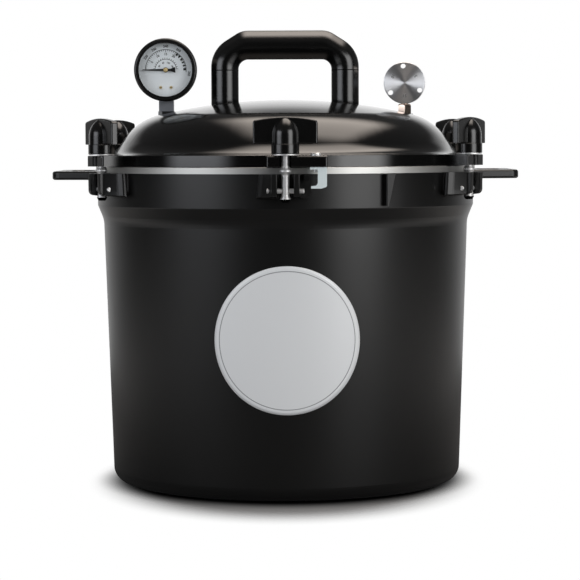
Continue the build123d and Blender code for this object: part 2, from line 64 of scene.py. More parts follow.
def add(tree, kind, sockets=None, **settings):
    # adds one node: settings are its own properties, sockets hold values or the outputs that feed them
    made = tree.nodes.new("ShaderNode" + kind)
    for name, value in settings.items():
        setattr(made, name, value)
    for name, value in (sockets or {}).items():
        if isinstance(value, bpy.types.NodeSocket):
            tree.links.new(value, made.inputs[name])
        else:
            made.inputs[name].default_value = value
    return made


def calc(tree, operation, *values):
    # one step of arithmetic on numbers or outputs
    return add(tree, "Math", dict(enumerate(values)), operation=operation).outputs[0]


def remap(tree, value, low, high, fromLow=0.0, fromHigh=1.0, smooth=False):
    # carries a value from one range to another, straight or with eased ends
    sockets = {"Value": value, "From Min": fromLow, "From Max": fromHigh, "To Min": low, "To Max": high}
    eased = "SMOOTHSTEP" if smooth else "LINEAR"
    return add(tree, "MapRange", sockets, interpolation_type=eased).outputs[0]


def blendColour(tree, factor, first, second):
    # from the first colour to the second as the factor goes from 0 to 1
    sockets = {"Factor": factor, "A": first, "B": second}
    return add(tree, "Mix", sockets, data_type="RGBA").outputs["Result"]


def blendValue(tree, factor, first, second):
    # the same for plain numbers
    return add(tree, "Mix", {"Factor": factor, "A": first, "B": second}, data_type="FLOAT").outputs[0]


def distance(tree, place, squeeze, centre=(0, 0, 0)):
    # how far a place lies from a centre, once each axis is scaled
    away = add(tree, "VectorMath", {0: place, 1: centre}, operation="SUBTRACT")
    scaled = add(tree, "VectorMath", {0: away.outputs[0], 1: squeeze}, operation="MULTIPLY")
    return add(tree, "VectorMath", {0: scaled.outputs[0]}, operation="LENGTH").outputs["Value"]


def grainOf(tree, place, size, detail):
    # cloudy noise whose lumps are about the given size
    return add(tree, "TexNoise", {"Vector": place, "Scale": 1 / size, "Detail": detail}).outputs[0]


def relief(tree, height, strength, depth, base=None):
    # a normal that leans with the slope of a height, over the normal called base
    sockets = {"Height": height, "Strength": strength, "Distance": depth}
    if base is not None:
        sockets["Normal"] = base
    return add(tree, "Bump", sockets).outputs[0]


def newMaterial(name):
    # an empty material and its tree
    material = bpy.data.materials.new(name)
    material.use_nodes = True
    material.node_tree.nodes.clear()
    return material, material.node_tree


def surface(tree, sockets):
    # ends a tree with one general shader
    shader = add(tree, "BsdfPrincipled", sockets)
    add(tree, "OutputMaterial", {"Surface": shader.outputs[0]})


def dress(material, *names):
    # gives solids one material
    for name in names:
        nodes[name].data.materials.clear()
        nodes[name].data.materials.append(material)


# Materials

potCoat = dict(black="#080808", metal="#c9c9c6", peel=2.2 * mm, turning=0.5 * mm, cloud=1 / 14,
               rough=(0.3, 0.35), bareRough=0.44, wallFoot=151.8 * mm, taper=0.03, floorTop=4 * mm,
               bandTop=276.1 * mm, rimR=169.9 * mm, strength=0.05, depth=0.1 * mm)


def coatedCasting():
    # baked black coating on cast aluminium: satin, faintly dimpled;
    # the rim and the inside are bare turned metal
    material, tree = newMaterial("baked coating on cast aluminium")
    place = add(tree, "TexCoord").outputs["Object"]
    height = add(tree, "SeparateXYZ", {0: place}).outputs["Z"]
    radius = distance(tree, place, (1, 1, 0))
    wallMiddle = calc(tree, "MULTIPLY_ADD", height, potCoat["taper"], potCoat["wallFoot"])
    within = calc(tree, "LESS_THAN", radius, wallMiddle)
    overFloor = calc(tree, "GREATER_THAN", height, potCoat["floorTop"])
    overBand = calc(tree, "GREATER_THAN", height, potCoat["bandTop"])
    onRim = calc(tree, "LESS_THAN", radius, potCoat["rimR"])
    inside = calc(tree, "MULTIPLY", within, overFloor)
    bare = calc(tree, "MAXIMUM", inside, calc(tree, "MULTIPLY", overBand, onRim))
    peel = grainOf(tree, place, potCoat["peel"], 2.0)
    tooled = 1 / (potCoat["turning"] * 20)  # a wave runs 20 times as fast as its scale
    rings = add(tree, "TexWave", {"Vector": place, "Scale": tooled, "Distortion": 0.6, "Detail": 1.0},
                wave_type="BANDS", bands_direction="Z").outputs["Fac"]
    gloss = remap(tree, grainOf(tree, place, potCoat["cloud"], 3.0), *potCoat["rough"])
    bumps = blendValue(tree, bare, peel, rings)
    surface(tree, {"Base Color": blendColour(tree, bare, linear(potCoat["black"]), linear(potCoat["metal"])),
                   "Metallic": bare, "Roughness": blendValue(tree, bare, gloss, potCoat["bareRough"]),
                   "Normal": relief(tree, bumps, potCoat["strength"], potCoat["depth"])})
    return material


lidCoat = dict(black="#070707", metal="#c9c9c6", peel=3.5 * mm, rough=0.13, bareRough=0.32, ior=1.58,
               down=-0.02, sealTop=281.9 * mm, sealR=158.6 * mm, strength=0.03, depth=0.1 * mm)


def glossCasting():
    # the lid's gloss black coating mirrors the room softly;
    # below, the seal and the dome's inside are bare metal
    material, tree = newMaterial("gloss coating on cast aluminium")
    place = add(tree, "TexCoord").outputs["Object"]
    height = add(tree, "SeparateXYZ", {0: place}).outputs["Z"]
    normal = add(tree, "SeparateXYZ", {0: add(tree, "NewGeometry").outputs["True Normal"]}).outputs["Z"]
    facesDown = calc(tree, "LESS_THAN", normal, lidCoat["down"])
    low = calc(tree, "LESS_THAN", height, lidCoat["sealTop"])
    inSeal = calc(tree, "LESS_THAN", distance(tree, place, (1, 1, 0)), lidCoat["sealR"])
    bare = calc(tree, "MULTIPLY", calc(tree, "MAXIMUM", facesDown, low), inSeal)
    peel = grainOf(tree, place, lidCoat["peel"], 1.0)
    rough = blendValue(tree, bare, lidCoat["rough"], lidCoat["bareRough"])
    surface(tree, {"Base Color": blendColour(tree, bare, linear(lidCoat["black"]), linear(lidCoat["metal"])),
                   "Metallic": bare, "Roughness": rough, "IOR": lidCoat["ior"],
                   "Normal": relief(tree, peel, lidCoat["strength"], lidCoat["depth"])})
    return material


phenolic = dict(black="#070707", ior=1.6, specular=0.5, flow=9 * mm, flowStrength=0.04, flowDepth=0.2 * mm,
                partingZ=366.4 * mm, partingWidth=0.35 * mm, partingStrength=0.6, partingDepth=0.15 * mm)


def mouldedPhenolic(name, parted, rough, edgeR):
    # compression-moulded phenolic: deep black, glossy, with faint flow marks and softly rounded edges;
    # the arch shows its mould's parting line, a groove that stays dark
    material, tree = newMaterial(name)
    place = add(tree, "TexCoord").outputs["Object"]
    flow = grainOf(tree, place, phenolic["flow"], 4.0)
    edge = add(tree, "Bevel", {"Radius": edgeR}, samples=6).outputs[0]
    sockets = {"Base Color": linear(phenolic["black"]), "Roughness": remap(tree, flow, *rough),
               "IOR": phenolic["ior"]}
    if parted:
        height = add(tree, "SeparateXYZ", {0: place}).outputs["Z"]
        line = calc(tree, "COMPARE", height, phenolic["partingZ"], phenolic["partingWidth"])
        beside = calc(tree, "SUBTRACT", 1.0, line)
        sockets["Specular IOR Level"] = calc(tree, "MULTIPLY", beside, phenolic["specular"])
        sockets["Normal"] = relief(tree, beside, phenolic["partingStrength"], phenolic["partingDepth"], edge)
    else:
        sockets["Normal"] = relief(tree, flow, phenolic["flowStrength"], phenolic["flowDepth"], edge)
    surface(tree, sockets)
    return material


def brightMetal(name, hexColour, rough, grain, stretch, metallic=1.0, paintedShadeBelow=None):
    # plain metal with fine tool marks: stretch squeezes the grain along one axis, so the marks run across it;
    # a bolt's foot is painted black below a height, painted shade under its eye
    material, tree = newMaterial(name)
    place = add(tree, "TexCoord").outputs["Object"]
    drawn = add(tree, "Mapping", {"Vector": place, "Scale": stretch}).outputs[0]
    marks = grainOf(tree, drawn, grain, 3.0)
    colour = linear(hexColour)
    # painted shade: the colour goes black below the given height
    if paintedShadeBelow:
        height = add(tree, "SeparateXYZ", {0: place}).outputs["Z"]
        under = calc(tree, "LESS_THAN", height, paintedShadeBelow)
        colour = blendColour(tree, under, colour, linear("#101010"))
    surface(tree, {"Base Color": colour, "Metallic": metallic, "Roughness": remap(tree, marks, *rough),
                   "Normal": relief(tree, marks, 0.05, 0.05 * mm)})
    return material


weightFace = dict(colour="#eeeff2", grooves=0.6 * mm, rough=(0.42, 0.5), centre=middleOf("regulator_weight"))


def facedSteel():
    # lathe-faced steel: concentric grooves too fine to see one by one spread each light into a wedge
    material, tree = newMaterial("lathe-faced steel")
    place = add(tree, "TexCoord").outputs["Object"]
    radius = distance(tree, place, (1, 0, 1), weightFace["centre"])
    groove = calc(tree, "SINE", calc(tree, "MULTIPLY", radius, 2 * pi / weightFace["grooves"]))
    tangent = add(tree, "Tangent", direction_type="RADIAL", axis="Y").outputs[0]
    surface(tree, {"Base Color": linear(weightFace["colour"]), "Metallic": 1.0,
                   "Roughness": remap(tree, groove, *weightFace["rough"], fromLow=-1.0),
                   "Anisotropic": 0.95, "Anisotropic Rotation": 0.25, "Tangent": tangent})
    return material


def plainFinish(name, hexColour, rough, grain, depth):
    # paint, rubber or ink: one colour, with grain in its gloss and relief
    material, tree = newMaterial(name)
    speck = grainOf(tree, add(tree, "TexCoord").outputs["Object"], grain, 2.0)
    surface(tree, {"Base Color": linear(hexColour), "Roughness": remap(tree, speck, *rough),
                   "Normal": relief(tree, speck, 0.1, depth)})
    return material


def lensGlass():
    # flat float glass: clear, with a mirror film that grows at the edge
    material, tree = newMaterial("clear gauge glass")
    clear = add(tree, "BsdfTransparent", {"Color": (0.97, 0.98, 0.98, 1)})
    mirror = add(tree, "BsdfGlossy", {"Roughness": 0.03})
    film = add(tree, "Fresnel", {"IOR": 1.45}).outputs[0]
    front = calc(tree, "SUBTRACT", 1.0, add(tree, "NewGeometry").outputs["Backfacing"])
    share = calc(tree, "MULTIPLY", film, front)
    mixed = add(tree, "MixShader", {0: share, 1: clear.outputs[0], 2: mirror.outputs[0]})
    add(tree, "OutputMaterial", {"Surface": mixed.outputs[0]})
    return material


potBlack = coatedCasting()
lidGloss = glossCasting()
handleBlack = mouldedPhenolic("moulded phenolic, arch", True, (0.13, 0.2), 4 * mm)
nutBlack = mouldedPhenolic("moulded phenolic, nuts", False, (0.16, 0.22), 0.9 * mm)

# each metal: colour, least and most roughness, grain, its stretch, share of metal; and what the eye gets
evenly, along, rolled = (1, 1, 1), (1, 1, 0.2), (0.2, 1, 1)
bolt = ("#f4f4f4", (0.48, 0.58), 0.8 * mm, along, 1.0)
boltSteel = brightMetal("satin bolt steel", *bolt)  # a pale, soft gleam
# the bolts' feet get painted shade: black below their eyes
paintedShadeFootSteel = brightMetal("satin bolt steel, painted shade on foot", *bolt, 255.6 * mm)  # and black below its eye
platedSteel = brightMetal("dull plated steel", "#8e9198", (0.4, 0.5), 0.6 * mm, evenly, 0.6)  # even mid grey
zincStrip = brightMetal("satin zinc strip", "#dfeaec", (0.45, 0.55), 0.4 * mm, (1, 1, 0.1), 0.35)  # whitish
brass = brightMetal("turned brass", "#c8a860", (0.2, 0.32), 0.5 * mm, evenly)  # warm yellow shine
dullBrass = brightMetal("dull brass", "#d9c08c", (0.4, 0.5), 0.5 * mm, evenly, 0.35)  # pale yellow dots
brightPlate = brightMetal("bright plated steel", "#b4b7bc", (0.06, 0.12), 0.5 * mm, evenly)  # a hard mirror
nickel = brightMetal("nickel-plated brass", "#dac6b8", (0.06, 0.12), 0.5 * mm, evenly)  # a warm mirror
sheetAluminium = brightMetal("pressed aluminium sheet", "#c8c9ca", (0.3, 0.42), 1.2 * mm, rolled)  # streaky

# each paint: colour, least and most roughness, grain and its depth; what the eye gets is, in turn,
# a sleek black case, an even cool white, flat crisp ink, a satin needle, grey strokes of painted shade and
# dull rubber
gaugeBlack = plainFinish("black enamel on pressed steel", "#101010", (0.22, 0.3), 1.5 * mm, 0.03 * mm)
dialWhite = plainFinish("satin white dial enamel", "#eceef2", (0.42, 0.5), 0.5 * mm, 0.01 * mm)
inkBlack = plainFinish("black dial ink", "#131313", (0.5, 0.6), 0.5 * mm, 0.005 * mm)
needleBlack = plainFinish("black needle paint", "#0b0b0b", (0.4, 0.5), 0.5 * mm, 0.01 * mm)
stampShadeGrey = plainFinish("stamped steel shadow", "#6d6e70", (0.45, 0.55), 0.3 * mm, 0.01 * mm)
rubber = plainFinish("black rubber", "#151515", (0.6, 0.75), 0.8 * mm, 0.1 * mm)

dress(potBlack, "pot_body")
dress(lidGloss, "lid_cover")
dress(handleBlack, "top_handle")
dress(nutBlack, *[f"wing_nut_{i}" for i in clamps])
dress(boltSteel, "hinge_pins", "handle_screws", "hook_screw", *[f"washer_{i}" for i in clamps])
dress(paintedShadeFootSteel, *[f"eye_bolt_{i}" for i in clamps])
dress(platedSteel, "gauge_socket")
dress(zincStrip, "lid_hook")
dress(dullBrass, "dial_screws")
dress(brass, "movement_plate", "sector_gear", "bourdon_tube", "gauge_link",
      *[f"nut_insert_{i}" for i in clamps])
dress(nickel, "vent_pipe")
dress(brightPlate, "gauge_nut")
dress(facedSteel(), "regulator_weight")
dress(gaugeBlack, "gauge_case", "gauge_bezel")
dress(dialWhite, "gauge_dial")
dress(needleBlack, "gauge_pointer")
dress(lensGlass(), "gauge_lens")
dress(rubber, "overpressure_plug")
dress(sheetAluminium, "canning_rack_lower", "canning_rack_upper")
print("finishes:", len(bpy.data.materials))


# Pieces

def gridFaces(rows, columns, closeColumns=False):
    # quads between neighbours of a grid of points, row by row
    r = np.arange(rows - 1)[:, None]
    c = np.arange(columns if closeColumns else columns - 1)[None, :]
    this, below, nextColumn = r * columns, (r + 1) * columns, (c + 1) % columns
    corners = (this + c, this + nextColumn, below + nextColumn, below + c)
    return np.stack(np.broadcast_arrays(*corners), -1).reshape(-1, 4)


def piece(name, parts, body, material, smooth=True):
    # joins the parts, each an array of points with its faces, into one mesh that rides on a body
    points, faces, start = [], [], 0
    for partPoints, partFaces in parts:
        points.append(np.asarray(partPoints).reshape(-1, 3))
        faces.extend((np.asarray(partFaces) + start).tolist())
        start += len(points[-1])
    mesh = bpy.data.meshes.new(name)
    mesh.from_pydata(np.concatenate(points).tolist(), [], faces)
    mesh.materials.append(material)
    mesh.polygons.foreach_set("use_smooth", np.full(len(mesh.polygons), smooth))
    mesh.update()
    made = bpy.data.objects.new(name, mesh)
    scene.collection.objects.link(made)
    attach(made, body)
    return made


def lathe(outline, steps):
    # radius and height pairs, turned about the Z axis
    outline = np.asarray(outline)
    angle = np.linspace(0, 2 * pi, steps, endpoint=False)[None, :]
    radius, height = outline[:, :1], outline[:, 1:]
    height = np.broadcast_to(height, (len(outline), steps))
    rings = np.stack([radius * np.cos(angle), radius * np.sin(angle), height], -1)
    return rings, gridFaces(len(outline), steps, closeColumns=True)


def figures(words, size):
    # plain numerals as flat triangles about their own middle
    curve = bpy.data.curves.new("figures", "FONT")
    curve.body = words
    curve.size = size
    curve.offset = 0.035 * size  # bolder strokes
    curve.align_x = "CENTER"
    curve.align_y = "CENTER"
    curve.resolution_u = 3
    holder = bpy.data.objects.new("figures", curve)
    scene.collection.objects.link(holder)
    flat = bpy.data.meshes.new_from_object(holder.evaluated_get(bpy.context.evaluated_depsgraph_get()))
    points = np.empty(len(flat.vertices) * 3)
    flat.vertices.foreach_get("co", points)
    corners = np.empty(len(flat.loops), int)
    flat.loops.foreach_get("vertex_index", corners)
    bpy.data.objects.remove(holder)
    return points.reshape(-1, 3)[:, :2], corners.reshape(-1, 3)


def figuresAt(words, size, angle, radius, upright):
    # numerals carried out to a radius at an angle, and turned with it from the angle where they stand upright
    flat, corners = figures(words, size)
    lean, at = radians(angle - upright), radians(angle)
    turned = flat @ np.array([[cos(lean), sin(lean)], [-sin(lean), cos(lean)]])
    return turned + radius * np.array([cos(at), sin(at)]), corners


# Front label: a vinyl disc that lies on the tapered wall
label = dict(radius=62.5 * mm, centreX=1.0 * mm, centreZ=137 * mm, proud=0.15 * mm, footRadius=155.2 * mm,
             taper=7.5 / 234, face="#e0e2e4", line="#8f9194", lineAt=0.93, lineWidth=0.006,
             brushed=(6, 260, 1), rough=(0.34, 0.44), rings=24, around=128)


def labelVinyl():
    # satin vinyl: pale silver grey, with one thin printed ring and a faint brushed sheen
    material, tree = newMaterial("satin silver vinyl")
    uv = add(tree, "TexCoord").outputs["UV"]
    radius = distance(tree, uv, (1, 1, 1), (0.5, 0.5, 0))
    ring = calc(tree, "COMPARE", radius, label["lineAt"] / 2, label["lineWidth"] / 2)
    drawn = add(tree, "Mapping", {"Vector": uv, "Scale": label["brushed"]}).outputs[0]
    sheen = grainOf(tree, drawn, 1.0, 2.0)
    surface(tree, {"Base Color": blendColour(tree, ring, linear(label["face"]), linear(label["line"])),
                   "Metallic": 0.1, "Roughness": remap(tree, sheen, *label["rough"])})
    return material


def labelDisc():
    # distance rho and angle make a flat disc;
    # its width is wrapped as arc length on the wall's radius at each height
    rows, columns = label["rings"] + 1, label["around"]
    rho = np.append(np.linspace(0, 1, label["rings"]), 1.0)[:, None] * label["radius"]
    angle = np.linspace(0, 2 * pi, columns, endpoint=False)[None, :]
    across, up = rho * np.cos(angle), rho * np.sin(angle)
    height = label["centreZ"] + up
    lift = np.full((rows, 1), label["proud"])
    lift[-1] = 0.0  # the last ring drops to the wall
    wall = label["footRadius"] + label["taper"] * height + lift
    turn = (label["centreX"] + across) / wall
    points = np.stack([wall * np.sin(turn), -wall * np.cos(turn), np.broadcast_to(height, turn.shape)], -1)
    faces = gridFaces(rows, columns, closeColumns=True)
    made = piece("front_label", [(points, faces)], "pot", labelVinyl())
    uv = np.stack([0.5 + across / label["radius"] / 2, 0.5 + up / label["radius"] / 2], -1).reshape(-1, 2)
    layer = made.data.uv_layers.new(name="disc")
    corner = np.empty(len(made.data.loops), int)
    made.data.loops.foreach_get("vertex_index", corner)
    layer.data.foreach_set("uv", uv[corner].ravel())


labelDisc()
print("label: on the wall")


# Cove where the dome runs into its flange
cove = dict(shoulderR=99.78 * mm, shoulderZ=273.91 * mm, shoulder=54.57 * mm, flangeZ=291.3 * mm,
            radius=20 * mm, sunk=1.0 * mm, steps=16, around=192)


def lidCove():
    # an arc that touches the dome's shoulder and the flange's top from outside,
    # closed below the lid's face, and turned
    middleZ = cove["flangeZ"] + cove["radius"]
    reach = cove["shoulder"] + cove["radius"]
    rise = middleZ - cove["shoulderZ"]
    middleR = cove["shoulderR"] + (reach ** 2 - rise ** 2) ** 0.5
    toShoulder = np.arctan2(-rise, cove["shoulderR"] - middleR) + 2 * pi
    angle = np.linspace(1.5 * pi, toShoulder, cove["steps"])
    arc = np.stack([middleR + cove["radius"] * np.cos(angle), middleZ + cove["radius"] * np.sin(angle)], -1)
    low = cove["flangeZ"] - cove["sunk"]
    inside = arc[-1] - cove["sunk"] * np.array([2.0, 1.0])  # under the dome's face
    hidden = np.array([arc[-1], inside, [inside[0], low], [arc[0, 0], low], arc[0]])
    parts = [lathe(outline, cove["around"]) for outline in (arc, hidden)]  # the arc shades by itself
    piece("lid_cove", parts, "lid", lidGloss)


# Gauge print: arcs, ticks, a banded zone and plain numbers, seen from the front; angles in degrees
gaugeX, _, gaugeZ = middleOf("gauge_bezel")
dial = dict(centre=(gaugeX, gaugeZ), front=-9.5 * mm, lift=0.03 * mm, lineWidth=0.44 * mm,
            tickWidth=0.48 * mm, tickLong=2.6 * mm, tickShort=1.4 * mm, tickStep=6, longEvery=5,
            mainArc=18.2 * mm, mainFrom=180, mainTo=-6, mainSteps=90, mainTicks=31,
            innerArc=9.6 * mm, innerFrom=172, innerTo=6, innerSteps=60, innerTicks=16, innerThin=1.3,
            zoneInner=15.6 * mm, zoneOuter=17.9 * mm, zoneFrom=57, zoneTo=0, zoneBlocks=11,
            blockShare=0.9, endShare=1.25)
# each row of numbers: words, angles, radius, size
dialNumbers = [(("220", "230", "240", "250", "260"), (147, 120, 90, 57, -9), 20.9 * mm, 2.9 * mm),
               (("5", "10", "15", "20"), (150, 120, 90, 60), 14.0 * mm, 2.9 * mm),
               (("40", "80", "120", "160"), (150, 110, 70, 28), 6.6 * mm, 2.0 * mm)]


def onDial(flat):
    # across and up on the dial's face, to a place in the frame just proud of it
    depth = np.full(len(flat), dial["front"] - dial["lift"])
    return np.stack([dial["centre"][0] + flat[:, 0], depth, dial["centre"][1] + flat[:, 1]], -1)


def arcBand(inner, outer, start, stop, steps):
    # radius and angle, running clockwise, so that the band faces the front
    radius = np.array([inner, outer])[:, None]
    angle = np.radians(np.linspace(start, stop, steps))[None, :]
    flat = np.stack([radius * np.cos(angle), radius * np.sin(angle)], -1).reshape(-1, 2)
    return onDial(flat), gridFaces(2, steps)


def dialPrint():
    # two arcs, ticks inside the one and outside the other, blocks on every second share of the zone,
    # and rows of numbers
    half, main, inner = dial["lineWidth"] / 2, dial["mainArc"], dial["innerArc"]
    parts = [arcBand(main - half, main + half, dial["mainFrom"], dial["mainTo"], dial["mainSteps"]),
             arcBand(inner - half, inner + half, dial["innerFrom"], dial["innerTo"], dial["innerSteps"])]
    spread = np.degrees(dial["tickWidth"] / main) / 2
    for step in range(dial["mainTicks"]):
        angle = dial["mainFrom"] - dial["tickStep"] * step
        length = dial["tickShort"] if step % dial["longEvery"] else dial["tickLong"]
        parts.append(arcBand(main - length, main, angle + spread, angle - spread, 2))
    spread = np.degrees(dial["tickWidth"] / inner) / 2 / dial["innerThin"]
    for angle in np.linspace(dial["innerFrom"], dial["innerTo"], dial["innerTicks"]):
        parts.append(arcBand(inner, inner + dial["tickShort"], angle + spread, angle - spread, 2))
    width = (dial["zoneFrom"] - dial["zoneTo"]) / dial["zoneBlocks"]
    for block in range(0, dial["zoneBlocks"], 2):
        start = dial["zoneFrom"] - width * block
        share = dial["endShare"] if block in (0, dial["zoneBlocks"] - 1) else dial["blockShare"]
        parts.append(arcBand(dial["zoneInner"], dial["zoneOuter"], start, start - width * share, 8))
    for words, angles, radius, size in dialNumbers:
        for word, angle in zip(words, angles):
            flat, corners = figuresAt(word, size, angle, radius, upright=90)
            parts.append((onDial(flat), corners))
    piece("dial_print", parts, "lid", inkBlack, smooth=False)


# Needle's painted face: a plain taper, a little wider than the strip beneath it
needle = dict(length=20.6 * mm, tip=0.45 * mm, root=1.05 * mm, lift=0.04 * mm, behindHub=0.5 * mm,
              front=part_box("gauge_pointer")[0][1])


def needleFace():
    # one four-sided face from the hub to the tip, just in front of the needle
    along = np.array([-needle["length"], 0.0, 0.0, -needle["length"]])
    half = np.array([-needle["tip"], -needle["root"], needle["root"], needle["tip"]])
    depth = np.full(4, needle["front"] + needle["behindHub"] - needle["lift"])
    points = np.stack([dial["centre"][0] + along, depth, dial["centre"][1] + half], -1)
    piece("needle_face", [(points, [[0, 1, 2, 3]])], "pointer", needleBlack, smooth=False)


# Brass cap on the needle's hub
hub = dict(radius=1.9 * mm, front=-12.9 * mm, height=0.7 * mm, rim=0.1 * mm, sunk=0.4 * mm, around=32)


def hubCap():
    # a quarter of an ellipse over a short wall, turned, and laid to face the front
    quarter = np.linspace(0, pi / 2, 8)
    dome = np.stack([hub["radius"] * np.cos(quarter), hub["rim"] + hub["height"] * np.sin(quarter)], -1)
    rings, faces = lathe(np.vstack([[hub["radius"], -hub["sunk"]], dome]), hub["around"])
    across, up, out = rings[..., 0], rings[..., 1], rings[..., 2]
    place = np.stack([dial["centre"][0] + across, hub["front"] - out, dial["centre"][1] + up], -1)
    piece("hub_cap", [(place, faces)], "pointer", dullBrass)


lidCove()
dialPrint()
needleFace()
hubCap()
print("lid and gauge: coved, printed")


# Ear ribs: the braces from the band to the clamps' ears, and the ears' rounded ends
ribs = dict(inside=6.9 * mm, outside=11.6 * mm, endR=190 * mm, braceR=186.5 * mm, kneeT=17.8 * mm,
            kneeR=176.4 * mm, footT=21.9 * mm, footR=172.7 * mm, wallR=170.5 * mm, top=276.1 * mm,
            low=257.3 * mm, wallLow=255.6 * mm, corner=4.5 * mm, draft=0.6 * mm, flare=2.2 * mm,
            edge=1.3 * mm, flank=5 * mm, bareEar=(1, 1))  # the lid hook's catch stands by the bare ear


def rounded(corners, edge, steps=7):
    # each inner corner of a plan becomes a curve that starts and ends at the distance edge from it
    corners = np.asarray(corners)
    s = np.linspace(0, 1, steps)[:, None]
    bends = []
    for before, corner, after in zip(corners, corners[1:], corners[2:]):
        start = corner + edge * (before - corner) / np.linalg.norm(before - corner)
        stop = corner + edge * (after - corner) / np.linalg.norm(after - corner)
        bends.append((1 - s) ** 2 * start + 2 * s * (1 - s) * corner + s ** 2 * stop)
    return np.vstack([corners[:1], *bends, corners[-1:]])


def earRibs():
    # a plan across and outwards, lofted down the ear's height and cut back by the ear's side outline
    inside, outside, endR = ribs["inside"], ribs["outside"], ribs["endR"]
    quarter = np.linspace(0, pi / 2, 7)
    middleR = endR - ribs["draft"] - ribs["corner"]
    middleZ = ribs["low"] + ribs["corner"]
    bend = np.stack([middleR + ribs["corner"] * np.cos(quarter),
                     middleZ - ribs["corner"] * np.sin(quarter)], -1)
    side = np.vstack([[endR, ribs["top"]], bend, [ribs["wallR"], ribs["wallLow"]]])
    reach, level = side[:, :1], side[:, 1:]
    drop = (ribs["top"] - level) / (ribs["top"] - ribs["low"])
    tip = [(outside, endR), (inside, endR), (inside, endR - ribs["flank"])]
    brace = [(ribs["footT"], ribs["wallR"]), (ribs["footT"], ribs["footR"]), (ribs["kneeT"], ribs["kneeR"]),
             (outside, ribs["braceR"])]
    braced = rounded(brace + tip, ribs["edge"])
    bare = rounded([(outside, endR - ribs["flank"])] + tip, ribs["edge"])
    parts = []
    for index in clamps:
        phi = 2 * pi * (index - 1) / clampCount
        for hand in (-1, 1):
            plan = bare if (index, hand) == ribs["bareEar"] else braced
            spread = np.clip((plan[:, 0] - outside) / (ribs["kneeT"] - outside), 0, 1)
            across = hand * (plan[:, 0] + ribs["flare"] * spread * drop)
            outward = np.minimum(plan[:, 1], reach)
            rings = np.stack([outward * sin(phi) + across * cos(phi), across * sin(phi) - outward * cos(phi),
                              np.broadcast_to(level, across.shape)], -1)
            crown = rings[0]
            root = crown + (ribs["wallR"] - outward[0])[:, None] * np.array([sin(phi), -cos(phi), 0])
            for points in (rings, np.stack([root, crown])):  # the sides, then the top
                faces = gridFaces(len(points), len(plan))
                parts.append((points, faces if hand > 0 else faces[:, ::-1]))
    piece("ear_ribs", parts, "pot", potBlack)


earRibs()
print("ears: braced")


# Bolt threads: a ridge of triangular section carried along a helix
thread = dict(root=3.42 * mm, crest=3.78 * mm, pitch=25.4 / 18 * mm, low=294.0 * mm, top=312.8 * mm,
              circle=182 * mm, perTurn=28, fill=0.9)


def boltThread(index):
    # three points a step, foot, crest and foot, climb by the pitch on each turn about the bolt
    turns = (thread["top"] - thread["low"]) / thread["pitch"]
    angle = np.linspace(0, 2 * pi * turns, int(turns * thread["perTurn"]))[:, None]
    run = np.linspace(0, 1, len(angle))[:, None]
    fade = np.clip(np.minimum(run, 1 - run) * turns, 0, 1)  # the ridge rises and dies over its end turns
    radius = thread["root"] + np.array([[0, 1, 0]]) * fade * (thread["crest"] - thread["root"])
    flank = np.array([[-0.5, 0, 0.5]]) * thread["fill"] * thread["pitch"]
    height = thread["low"] + run * (thread["top"] - thread["low"]) + flank
    height = np.broadcast_to(height, radius.shape)
    ridge = np.stack([radius * np.cos(angle), radius * np.sin(angle), height], -1)
    phi = 2 * pi * (index - 1) / clampCount
    ridge = ridge + np.array([thread["circle"] * sin(phi), -thread["circle"] * cos(phi), 0])
    faces = gridFaces(len(angle), 3, closeColumns=True)[:, ::-1]
    piece(f"bolt_thread_{index}", [(ridge, faces)], f"bolt_{index}", boltSteel)


for index in clamps:
    boltThread(index)
print("threads: on", clampCount, "bolts")


# Weight: stamped settings beside its seats, their dents given as painted shade in grey
stamp = dict(words=("15", "5", "10"), angles=(270, 30, 150), radius=11.8 * mm, size=3.6 * mm,
             front=-6.5 * mm, lift=0.02 * mm, turn=-3.5, centre=np.array(middleOf("regulator_weight")))


def weightStamps():
    # numbers on the disc's face, swung about the pipe by the few degrees that the weight is turned
    parts = []
    swing, depth = radians(stamp["turn"]), stamp["front"] - stamp["lift"]
    for word, angle in zip(stamp["words"], stamp["angles"]):
        flat, corners = figuresAt(word, stamp["size"], angle, stamp["radius"], upright=270)
        across, up = flat[:, 0], flat[:, 1]
        spun = np.stack([across * cos(swing) - depth * sin(swing),
                         across * sin(swing) + depth * cos(swing), up], -1)
        parts.append((spun + stamp["centre"], corners))
    piece("weight_stamps", parts, "weight", stampShadeGrey, smooth=False)


weightStamps()

# Screw slots: flat black bars of painted shade standing for the sunk slots on the hook's screw and the dial's
# screws; middles and half sizes in mm
dialScrew = dict(aside=4.6, front=-10.12, drop=15.5, half=(1.1, 0.03, 0.18))
slots = dict(hook=((25, -180, 293.72), (3.0, 0.4, 0.03)))
for name, hand in (("dialLeft", -1), ("dialRight", 1)):
    centre = (gaugeX / mm + hand * dialScrew["aside"], dialScrew["front"], gaugeZ / mm - dialScrew["drop"])
    slots[name] = (centre, dialScrew["half"])
boxCorners = np.array([[x, y, z] for x in (-1, 1) for y in (-1, 1) for z in (-1, 1)])
boxFaces = [[0, 1, 3, 2], [4, 6, 7, 5], [0, 4, 5, 1], [2, 3, 7, 6], [0, 2, 6, 4], [1, 5, 7, 3]]
for name, (centre, half) in slots.items():
    corners = (np.array(centre) + boxCorners * np.array(half)) * mm
    # each bar is black ink, painted shade inside a slot
    piece(f"screw_slot_{name}", [(corners, boxFaces)], "lid", inkBlack, smooth=False)
print("weight and screws: marked")


# Stage: pale floor, white studio, three soft lamps and the camera
scene.view_settings.view_transform = "Standard"

